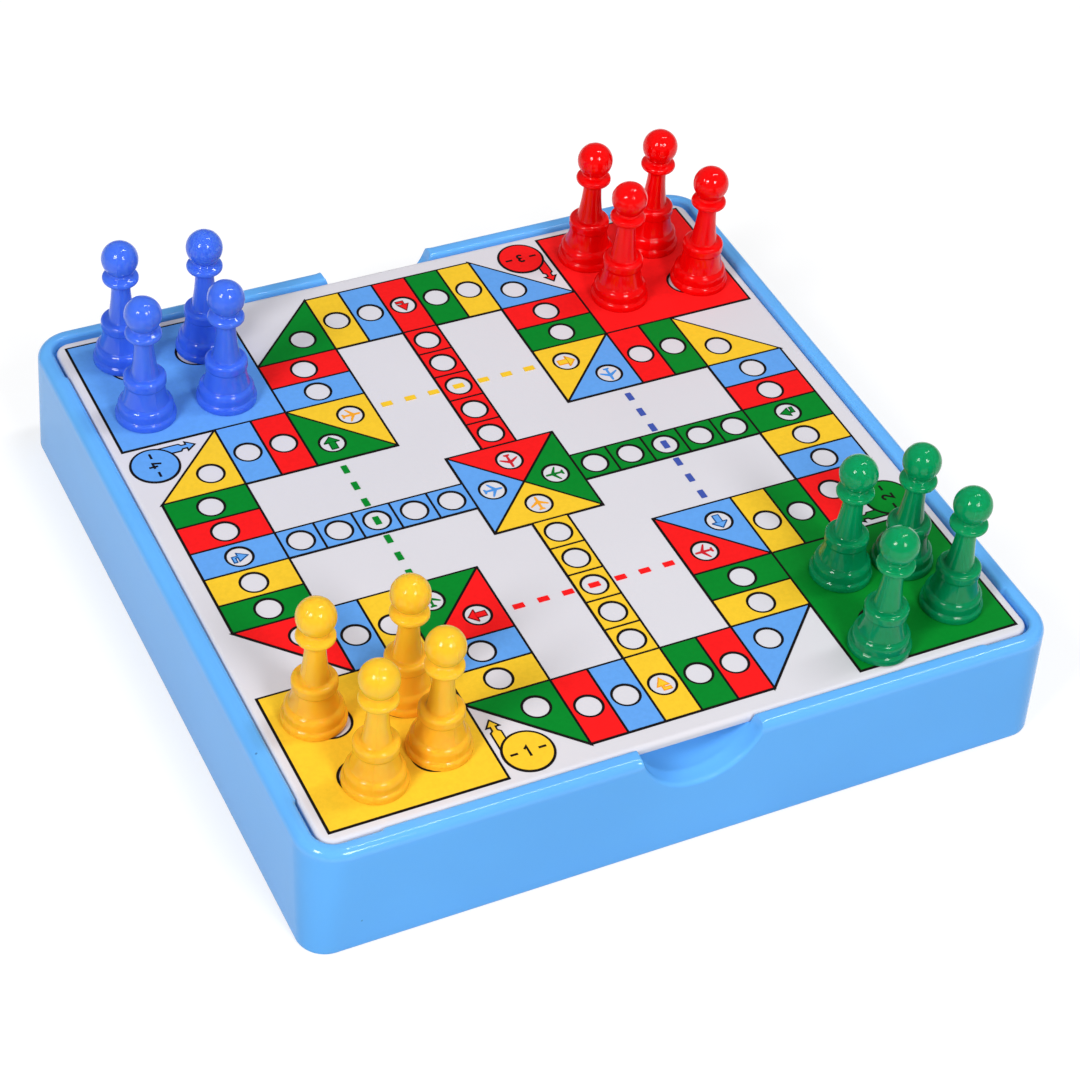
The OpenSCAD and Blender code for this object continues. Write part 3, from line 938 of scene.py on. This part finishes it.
AEROPLANE = mirrored([
    (0, 2.3), (0.24, 2.1), (0.3, 0.9), (1.95, -0.3), (2.1, -0.62), (1.75, -0.6), (0.3, 0.1),
    (0.24, -1.3), (0.66, -1.55), (0.68, -1.9), (0, -1.85),
])
ARROW = mirrored([(0, 2.25), (1.85, 0.4), (1.75, 0.15), (0.85, 0.15), (0.85, -2.0), (0, -2.0)])
BENT_ARROW = [
    (0, 2.1), (1.5, -0.45), (0.2, -0.45), (0.2, -0.75), (1.5, -0.75), (1.5, -1.7), (-0.5, -1.7),
    (-0.5, -0.45), (-1.5, -0.45),
]
SIGN_BORDER = 0.26
SIGN_MITRE = 0.35


def inset_outline(outline, border):
    """The outline drawn in by an even border. Its points run one way round, and their number stays."""
    points = [Vector(p) for p in outline]
    area = sum(a.x * b.y - b.x * a.y for a, b in zip(points, points[1:] + points[:1]))
    inward = 1 if area > 0 else -1
    drawn = []
    for before, here, after in zip(points[-1:] + points[:-1], points, points[1:] + points[:1]):
        first = (here - before).normalized()
        second = (after - here).normalized()
        normal = Vector((-first.y - second.y, first.x + second.x)) * inward
        normal.normalize()
        slope = max(SIGN_MITRE, normal.dot(Vector((-first.y, first.x)) * inward))
        drawn.append(here + normal * border / slope)
    return [tuple(p) for p in drawn]


print("signs:", len(AEROPLANE), len(ARROW), len(BENT_ARROW), "points")

# %% Films of ink
FILM_SHARP = 20


def turned(points, quarters, place=(0, 0)):
    """Flat points turned about the origin by quarter turns, then moved to a place."""
    step = Matrix.Rotation(math.radians(90 * quarters), 2)
    return [tuple(step @ Vector(p) + Vector(place)) for p in points]


def edges_of(corners):
    """The edges round a face, each as its two corners."""
    return list(zip(corners, corners[1:] + corners[:1]))


def film(name, patches, low, thick, finishes):
    """A thin printed film on the board, closed all round. Each flat patch has the number of its finish."""
    numbers = {}
    flats = [[numbers.setdefault(point, len(numbers)) for point in outline] for outline, finish in patches]
    uses = Counter(frozenset(edge) for flat in flats for edge in edges_of(flat))
    up = len(numbers)
    faces = []
    inks = []
    for flat, (outline, finish) in zip(flats, patches):
        sides = [[a, b, up + b, up + a] for a, b in edges_of(flat) if uses[frozenset((a, b))] == 1]
        faces += [flat, [up + k for k in flat], *sides]
        inks += [finish] * (2 + len(sides))
    mesh = bpy.data.meshes.new(name)
    mesh.from_pydata([(x * MM, y * MM, z * MM) for z in (low, low + thick) for x, y in numbers], [], faces)
    mesh.polygons.foreach_set("material_index", inks)
    work = bmesh.new()
    work.from_mesh(mesh)
    bmesh.ops.recalc_face_normals(work, faces=work.faces)
    work.to_mesh(mesh)
    work.free()
    piece = as_piece(name, mesh, finishes, FILM_SHARP)
    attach(piece, "board")


def bordered(outline, inner, open_from=None):
    """The patches of a sign: a fill, and quads round it as a border, which ends at edge open_from."""
    count = len(outline)
    patches = [(inner, 1)]
    for k in range(count if open_from is None else open_from):
        after = (k + 1) % count
        patches.append(([outline[k], outline[after], inner[after], inner[k]], 0))
    return patches


print("films of ink:", INK_T, "mm thick")

# %% Signs in the white spots
COLOURS = list(INKS)
TRIANGLE_PLANE = (-TRACK_INNER + TRI_SPOT, -RUN_HALF - TRI_SPOT)
TRIANGLE_ARROW = (-RUN_HALF - TRI_SPOT, -TRACK_INNER + TRI_SPOT)
MIDDLE_CELL = (0, -BAND_EDGE - CELL_L / 2)
CENTRE_PLANE = (0, -CENTRE_SPOT)
# A sign is its outline, its place, its quarter turns, and how many colours it lies past that of its quarter
SIGNS = [
    (ARROW, TRIANGLE_ARROW, 1, 2),
    (BENT_ARROW, MIDDLE_CELL, 0, 0),
]
PLANES = [
    (TRIANGLE_PLANE, 0, 1),
    (CENTRE_PLANE, 0, 0),
]
sign_patches = {colour_name: [] for colour_name in COLOURS}
plane_patches = {colour_name: [] for colour_name in COLOURS}
for quarter in range(4):
    for outline, place, turn, colour_step in SIGNS:
        sign = turned(turned(outline, turn, place), quarter)
        patches = bordered(sign, inset_outline(sign, SIGN_BORDER))
        sign_patches[COLOURS[(quarter + colour_step) % 4]] += patches
    for place, turn, colour_step in PLANES:
        plane = turned(turned(AEROPLANE, turn, place), quarter)
        plane_patches[COLOURS[(quarter + colour_step) % 4]].append((plane, 0))
for colour_name in COLOURS:
    sign_inks = [DEEP_FINISHES[colour_name], INK_FINISHES[colour_name]]
    film(f"{colour_name}_signs", sign_patches[colour_name], BOARD_TOP, INK_T, sign_inks)
    plane_inks = [PLANE_FINISHES[colour_name]]
    film(f"{colour_name}_planes", plane_patches[colour_name], BOARD_TOP, INK_T, plane_inks)
print("signs drawn:", 4 * (len(SIGNS) + len(PLANES)))

# %% Arrows at the start discs
START_PLACE = (-START_ALONG, -START_FROM_MIDDLE)
ARROW_AXIS = -36.15
ARROW_TIP = -60.3
HEAD_HALF = 1.75
HEAD_L = 2.35
NECK_HALF = 0.72
NECK_L = 0.75
SHAFT_HALF = 1.3
SHAFT_SLOPE = 0.5
ARROW_BORDER = 0.36
FOOT_STEPS = 7
disc_reach = START_D / 2 + LINE_W / 2


def disc_edge(x):
    """Height on the page where the upright at x meets the upper edge of the disc."""
    return START_PLACE[1] + math.sqrt(disc_reach ** 2 - (x - START_PLACE[0]) ** 2)


def arrow_foot(inset):
    """The places where the arrow's shaft meets the disc, from right to left."""
    reach = SHAFT_HALF - inset
    return [(x, disc_edge(x)) for x in np.linspace(ARROW_AXIS + reach, ARROW_AXIS - reach, FOOT_STEPS)]


def start_arrow():
    """The arrow's outline and the outline of its fill. The disc's own line closes both at the foot."""
    head = ARROW_TIP - HEAD_L
    neck = head - NECK_L
    shoulder = neck - SHAFT_SLOPE
    half = [(0, ARROW_TIP), (HEAD_HALF, head), (NECK_HALF, head), (NECK_HALF, neck), (SHAFT_HALF, shoulder)]
    right = [(ARROW_AXIS + x, y) for x, y in half]
    left = [(ARROW_AXIS - x, y) for x, y in reversed(half[1:])]
    outline = arrow_foot(0.0)[-1:] + left + right + arrow_foot(0.0)[:-1]
    fill = inset_outline(outline, ARROW_BORDER)
    edges = len(left) + len(right)
    fill = arrow_foot(ARROW_BORDER)[-1:] + fill[1:edges + 1] + arrow_foot(ARROW_BORDER)[:-1]
    return outline, fill, edges + 1


outline, fill, open_from = start_arrow()
for quarter, colour_name in enumerate(COLOURS):
    patches = bordered(turned(outline, quarter), turned(fill, quarter), open_from)
    arrow_inks = [BLACK_FINISH, INK_FINISHES[colour_name]]
    film(f"{colour_name}_start_arrow", patches, BOARD_TOP, INK_T, arrow_inks)
print("start arrows from", round(disc_edge(ARROW_AXIS), 2), "to", ARROW_TIP)

# %% Player numbers
NUMBER_H = 2.9
STROKE = 0.52
STROKE_MITRE = 0.5
NUMBER_T = 0.05
DASH_FROM = 2.2
DASH_TO = 3.8
ARC_STEPS = 12


def arc(middle, radius, start, stop):
    """Points on a circle between two angles in degrees."""
    angles = np.radians(np.linspace(start, stop, ARC_STEPS))
    return [(middle[0] + radius * math.cos(a), middle[1] + radius * math.sin(a)) for a in angles]


HALF_H = NUMBER_H / 2 - STROKE / 2
END_H = HALF_H + STROKE / 2
HOOK_R = 0.62
BOWL_R = HALF_H / 2
BAR_Y = -0.35
STEM_X = 0.4
DIGITS = {
    1: [[(-0.55, HALF_H - 0.6), (0.05, HALF_H), (0.05, -END_H)]],
    2: [arc((0, HALF_H - HOOK_R), HOOK_R, 170, -40) + [(-HOOK_R, -HALF_H), (0.9, -HALF_H)]],
    3: [arc((0, BOWL_R), BOWL_R, 150, -90) + arc((0, -BOWL_R), BOWL_R, 90, -150)[1:]],
    4: [
        [(-0.2, END_H), (-0.7, BAR_Y), (1.0, BAR_Y)],
        [(STEM_X, 0.5), (STEM_X, BAR_Y + STROKE / 2)],
        [(STEM_X, BAR_Y - STROKE / 2), (STEM_X, -END_H)],
    ],
}
DASHES = [[(-DASH_TO, 0), (-DASH_FROM, 0)], [(DASH_FROM, 0), (DASH_TO, 0)]]


def ribbon(line, width):
    """Quads along a line of points, mitred where it bends."""
    points = [Vector(p) for p in line]
    steps = [(b - a).normalized() for a, b in zip(points, points[1:])]
    edges = []
    for point, before, after in zip(points, steps[:1] + steps, steps + steps[-1:]):
        side = Vector((-before.y - after.y, before.x + after.x)).normalized()
        side *= width / 2 / max(STROKE_MITRE, side.dot(Vector((-before.y, before.x))))
        edges.append((tuple(point + side), tuple(point - side)))
    return [[a[0], a[1], b[1], b[0]] for a, b in zip(edges, edges[1:])]


ink_top = BOARD_TOP + 2 * INK_T
for quarter, colour_name in enumerate(COLOURS):
    patches = []
    for line in DIGITS[quarter + 1] + DASHES:
        for quad in ribbon(line, STROKE):
            patches.append((turned(turned(quad, 0, START_PLACE), quarter), 0))
    film(f"{colour_name}_number", patches, ink_top, NUMBER_T, [BLACK_FINISH])
print("player numbers: 1 to", len(COLOURS))

# %% [markdown]
# ## The pawns
# A pawn looks turned on a lathe: a foot, a bell with a rounded lower band, a collar, a tapering neck, a
# second collar and a ball. It is really moulded, hollow from below, in two halves that leave a fine seam on
# both sides.
# A screw modifier could spin an outline, but every edge would stay razor sharp. Here the radius at each
# height is the largest of the parts, and a small ball is then rolled along the outline: outside, where it
# can't reach the bottom of a crevice, it leaves a fillet, and inside, where it can't reach an edge, it leaves
# a rounding.
# The outline is spun with closer steps at the two seams.

# %% Outline of a pawn
FOOT_R = 6.6
FOOT_H = 1.9
FOOT_EDGE = 1.0
BELL_R = 6.0
BELL_BAND = 2.8
BELL_EDGE = 1.6
BELL_LOW_R = 5.6
BELL_TOP_R = 4.2
# A collar is its radius, its thickness and the height of its middle
LOW_COLLAR = (4.6, 2.7, 10.0)
TOP_COLLAR = (3.95, 1.7, 22.3)
COLLAR_EDGE = 0.8
COLLAR_SLOPE = 0.55
NECK_LOW_R = 3.05
NECK_TOP_R = 2.0
THROAT_R = 2.6
BALL_R = 4.0
BALL_Z = 27.2
FOOT_WALL = 1.4
PAWN_WALL = 1.3
HOLLOW_H = 18.5
HOLLOW_ROUND = 0.4
MOUTH_LEAN = 0.15
MOUTH_H = 0.25
FILLET = 0.4
EDGE_ROUND = 0.25
# A radius below any other, for where a part has none
NOTHING = -9.0
OUTLINE_STEP = 0.01
OUTLINE_POINTS = 210
EVEN_POINTS = 1500
STRAIGHT_SHARE = 0.4
BEND_SPAN = 9


def disc_radius(z, radius, thick, middle, edge):
    """Radius of a disc with two rounded edges at each height, and nothing above or below it."""
    away = np.abs(z - middle)
    over = np.clip(away - (thick / 2 - edge), 0, edge)
    return np.where(away <= thick / 2, radius - edge + np.sqrt(edge ** 2 - over ** 2), NOTHING)


def round_top_radius(z, radius, height, edge, low):
    """Radius of a disc that stands at a height and has only its upper edge rounded."""
    over = np.clip(z - (low + height - edge), 0, edge)
    within = (z >= low) & (z <= low + height)
    return np.where(within, radius - edge + np.sqrt(edge ** 2 - over ** 2), NOTHING)


def flared_radius(z, low_r, low_z, top_r, top_z):
    """Radius under a hollow curve, upright at its top and flaring out to its lower end."""
    curve_r = ((top_z - low_z) ** 2 + (low_r - top_r) ** 2) / (2 * (low_r - top_r))
    hollow = np.sqrt(np.clip(curve_r ** 2 - (top_z - z) ** 2, 0, None))
    return np.where((z > low_z) & (z < top_z), top_r + curve_r - hollow, NOTHING)


def cone_radius(z, radius, thick, middle):
    """Radius of the cone that rises from the round edge of the upper collar to the ball."""
    lean = math.hypot(1, COLLAR_SLOPE)
    touch_r = radius - COLLAR_EDGE + COLLAR_EDGE * COLLAR_SLOPE / lean
    touch_z = middle + thick / 2 - COLLAR_EDGE + COLLAR_EDGE / lean
    return np.where((z >= touch_z) & (z < BALL_Z), touch_r - (z - touch_z) / COLLAR_SLOPE, NOTHING)


def pawn_radius(z):
    """Outer radius of a pawn at each height above its foot."""
    low_z = LOW_COLLAR[2]
    top_z = TOP_COLLAR[2]
    parts = [
        round_top_radius(z, FOOT_R, FOOT_H, FOOT_EDGE, 0),
        round_top_radius(z, BELL_R, BELL_BAND, BELL_EDGE, FOOT_H),
        flared_radius(z, BELL_LOW_R, FOOT_H + BELL_BAND - BELL_EDGE, BELL_TOP_R, low_z),
        disc_radius(z, *LOW_COLLAR, COLLAR_EDGE),
        flared_radius(z, NECK_LOW_R, low_z + LOW_COLLAR[1] / 2, NECK_TOP_R, top_z),
        disc_radius(z, *TOP_COLLAR, COLLAR_EDGE),
        cone_radius(z, *TOP_COLLAR),
        np.where((z > top_z) & (z < BALL_Z), THROAT_R, NOTHING),
        disc_radius(z, BALL_R, 2 * BALL_R, BALL_Z, BALL_R),
    ]
    return np.max(parts, axis=0)


def swollen(radius, ball):
    """The outline swollen by a ball that is rolled along it."""
    reach = round(ball / OUTLINE_STEP)
    shifts = np.arange(-reach, reach + 1)
    rise = np.sqrt(np.clip(ball ** 2 - (shifts * OUTLINE_STEP) ** 2, 0, None))
    return np.max([np.roll(radius, k) + r for k, r in zip(shifts, rise)], axis=0)


def shrunk(radius, ball):
    """The outline shrunk by the same ball."""
    return -swollen(-radius, ball)


def pawn_outline():
    """Points of the outside from the top of the ball down to the foot, closer together where it bends."""
    z = np.arange(round((BALL_Z + BALL_R) / OUTLINE_STEP), -1, -1) * OUTLINE_STEP
    spare = round(2 * FILLET / OUTLINE_STEP)
    radius = np.pad(pawn_radius(z), spare, constant_values=NOTHING)
    radius = shrunk(swollen(radius, FILLET), FILLET)
    radius = swollen(shrunk(radius, EDGE_ROUND), EDGE_ROUND)[spare:-spare]
    radius[0] = 0
    length = np.concatenate([[0], np.cumsum(np.hypot(np.diff(radius), np.diff(z)))])
    even = np.linspace(0, length[-1], EVEN_POINTS)
    radius = np.interp(even, length, radius)
    z = np.interp(even, length, z)
    heading = np.unwrap(np.arctan2(np.diff(radius), -np.diff(z)))
    bend = np.convolve(np.abs(np.diff(heading)), np.ones(BEND_SPAN) / BEND_SPAN, "same")
    bend_share = np.pad(bend, (1, 0), mode="edge") / bend.sum()
    pace = STRAIGHT_SHARE / EVEN_POINTS + (1 - STRAIGHT_SHARE) * bend_share
    travel = np.concatenate([[0], np.cumsum(pace)])
    at = np.linspace(0, travel[-1], OUTLINE_POINTS)
    return list(zip(np.interp(at, travel, radius), np.interp(at, travel, z)))


outside = pawn_outline()
mouth_r = FOOT_R - FOOT_WALL
tip_r = NECK_TOP_R - PAWN_WALL
inside_points = [
    (mouth_r, 0.0),
    (mouth_r - MOUTH_LEAN, MOUTH_H),
    (NECK_LOW_R - PAWN_WALL, LOW_COLLAR[2]),
    (tip_r, HOLLOW_H - HOLLOW_ROUND),
    (tip_r - HOLLOW_ROUND, HOLLOW_H),
    (0.0, HOLLOW_H),
]
print("pawn:", round(BALL_Z + BALL_R, 2), "mm high, foot", 2 * round(max(r for r, z in outside), 2), "mm")

# %% Spin the outline
SPOKES = 60
SEAM_HALF = 2.4
SEAM_RIDGE = 0.05
SEAM_SECTION = ((-1, 0.0), (-0.5, 0.6), (0, 1.0), (0.5, 0.6), (1, 0.0))
PAWN_SHARP = 50


def spokes():
    """Angles in degrees round a pawn, closer at the two seams, and how far each stands out on the seam."""
    angles = {round(360 * k / SPOKES, 3): 0.0 for k in range(SPOKES)}
    for seam in (0, 180):
        for share, rise in SEAM_SECTION:
            angles[(seam + share * SEAM_HALF) % 360] = rise * SEAM_RIDGE
    return sorted(angles.items())


def spun(name, finish):
    """A closed pawn, spun from the outline that starts and ends on the axis, its seams raised outside."""
    outline = outside[1:] + inside_points[:-1]
    wheel = spokes()
    points = [(0, 0, outside[0][1] * MM), (0, 0, inside_points[-1][1] * MM)]
    for k, (radius, z) in enumerate(outline):
        for angle, rise in wheel:
            out_to = (radius + (rise if k < len(outside) - 1 else 0.0)) * MM
            turn = math.radians(angle)
            points.append((out_to * math.cos(turn), out_to * math.sin(turn), z * MM))
    count = len(wheel)
    last = 2 + (len(outline) - 1) * count
    faces = []
    for k in range(count):
        after = (k + 1) % count
        faces.append((0, 2 + k, 2 + after))
        for here in range(2, last, count):
            faces.append((here + k, here + count + k, here + count + after, here + after))
        faces.append((last + k, 1, last + after))
    mesh = bpy.data.meshes.new(name)
    mesh.from_pydata(points, [], faces)
    return smoothed(mesh, [finish], PAWN_SHARP)


pawn_meshes = {name: spun(f"{name}_pawn", PAWN_FINISHES[name]) for name in COLOURS}
print("points in a pawn:", len(pawn_meshes["red"].vertices))

# %% Stand the pawns
SEAM_TURNS = (25, 140, 62, 100)
for colour_name in COLOURS:
    for number, seam_turn in enumerate(SEAM_TURNS, 1):
        node = f"{colour_name}_pawn_{number}"
        low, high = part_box(node)
        pawn = bpy.data.objects.new(f"{node}_moulded", pawn_meshes[colour_name])
        pawn.location = ((low.x + high.x) / 2, (low.y + high.y) / 2, low.z)
        pawn.rotation_euler.z = math.radians(seam_turn)
        bpy.context.scene.collection.objects.link(pawn)
        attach(pawn, node)
        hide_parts(node)
print("pawns standing:", 4 * len(COLOURS))

# %% [markdown]
# ## The die
# The die lies in the store and shows when the board is lifted. It is a cube rounded at its corners, with a
# shallow painted hollow for each pip.
# Cutting twenty-one balls out of a cube would leave thin slivers, so each face is a fine grid instead: its
# points are pulled in to the rounded shape, pushed down inside a pip, and the faces inside a pip take the
# black paint.

# %% Die plastic
DIE_WHITE = srgb(244, 242, 234)
DIE_GLOSS = 0.35
DIE_GRAIN = Grain(
    drift=3 * MM, shades=(0.97, 1.0), shine=1.5 * MM, rough=(0.2, 0.3), bump=1 * MM, depth=0.006 * MM,
)


def die_plastic():
    material, nodes, shader, place = new_finish("die_plastic", DIE_GLOSS)
    nodes.links.new(drifting(nodes, place, DIE_WHITE, DIE_GRAIN), shader.inputs["Base Color"])
    surfaced(nodes, shader, place, DIE_GRAIN)
    return material


DIE_PLASTIC = die_plastic()
print("finish:", DIE_PLASTIC.name)

# %% Die
die_low, die_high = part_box("die")
DIE_HALF = (die_high.x - die_low.x) / 2 / MM
DIE_ROUND_R = 7.2
DIE_EDGE = 0.7
PIP_R = 0.95
PIP_DEPTH = 0.5
PIP_PITCH = 2.5
DIE_GRID = 72
DIE_SHARP = 45
PIPS = {
    1: [(0, 0)],
    2: [(1, 1), (-1, -1)],
    3: [(0, 0), (1, 1), (-1, -1)],
    4: [(1, 1), (-1, -1), (1, -1), (-1, 1)],
    5: [(0, 0), (1, 1), (-1, -1), (1, -1), (-1, 1)],
    6: [(1, 1), (-1, -1), (1, -1), (-1, 1), (1, 0), (-1, 0)],
}
DIE_TURNS = {1: (0, 0), 2: (90, 0), 3: (0, 90), 4: (0, -90), 5: (-90, 0), 6: (180, 0)}


def die_face(count, work):
    """One face of the die with that many pips, as a grid of points and faces added to the work mesh."""
    tilt, swing = (math.radians(angle) for angle in DIE_TURNS[count])
    turn = Matrix.Rotation(swing, 3, "Y") @ Matrix.Rotation(tilt, 3, "X")
    steps = np.linspace(-1, 1, DIE_GRID + 1) * DIE_HALF
    pips = [(x * PIP_PITCH, y * PIP_PITCH) for x, y in PIPS[count]]
    rows = []
    for y in steps:
        row = []
        for x in steps:
            away = Vector((x, y, DIE_HALF))
            cube = DIE_HALF / max(abs(x), abs(y), DIE_HALF)
            reach = soft_min(cube, DIE_ROUND_R / away.length, DIE_EDGE / DIE_HALF)
            point = away * float(reach)
            for px, py in pips:
                across = math.hypot(x - px, y - py) / PIP_R
                point.z -= PIP_DEPTH * max(0.0, 1 - across * across)
            row.append(work.verts.new(turn @ point * MM))
        rows.append(row)
    for j in range(DIE_GRID):
        for k in range(DIE_GRID):
            face = work.faces.new((rows[j][k], rows[j][k + 1], rows[j + 1][k + 1], rows[j + 1][k]))
            x = (steps[k] + steps[k + 1]) / 2
            y = (steps[j] + steps[j + 1]) / 2
            face.material_index = int(any(math.hypot(x - px, y - py) < PIP_R for px, py in pips))


work = bmesh.new()
for count in PIPS:
    die_face(count, work)
bmesh.ops.remove_doubles(work, verts=work.verts, dist=WELD)
bmesh.ops.recalc_face_normals(work, faces=work.faces)
die_mesh = bpy.data.meshes.new("die_cube")
work.to_mesh(die_mesh)
work.free()
die_cube = as_piece("die_cube", die_mesh, [DIE_PLASTIC, BLACK_FINISH], DIE_SHARP)
die_cube.location = (die_low + die_high) / 2
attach(die_cube, "die")
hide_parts("die")
print("die:", 2 * round(DIE_HALF, 2), "mm,", sum(len(p) for p in PIPS.values()), "pips")

# %% [markdown]
# ## The two boxes
# The dressed object is meant to keep the size of the frame. The box of the frame was kept at the start, and
# the box of what now shows is measured here and printed beside it.

# %% Sizes and finish
boxes = {"cad": [list(c) for c in cad_box], "visual": [list(c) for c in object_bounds()]}
for box_name, box_corners in boxes.items():
    print(box_name, "box in mm:", [[round(x / MM, 2) for x in corner] for corner in box_corners])
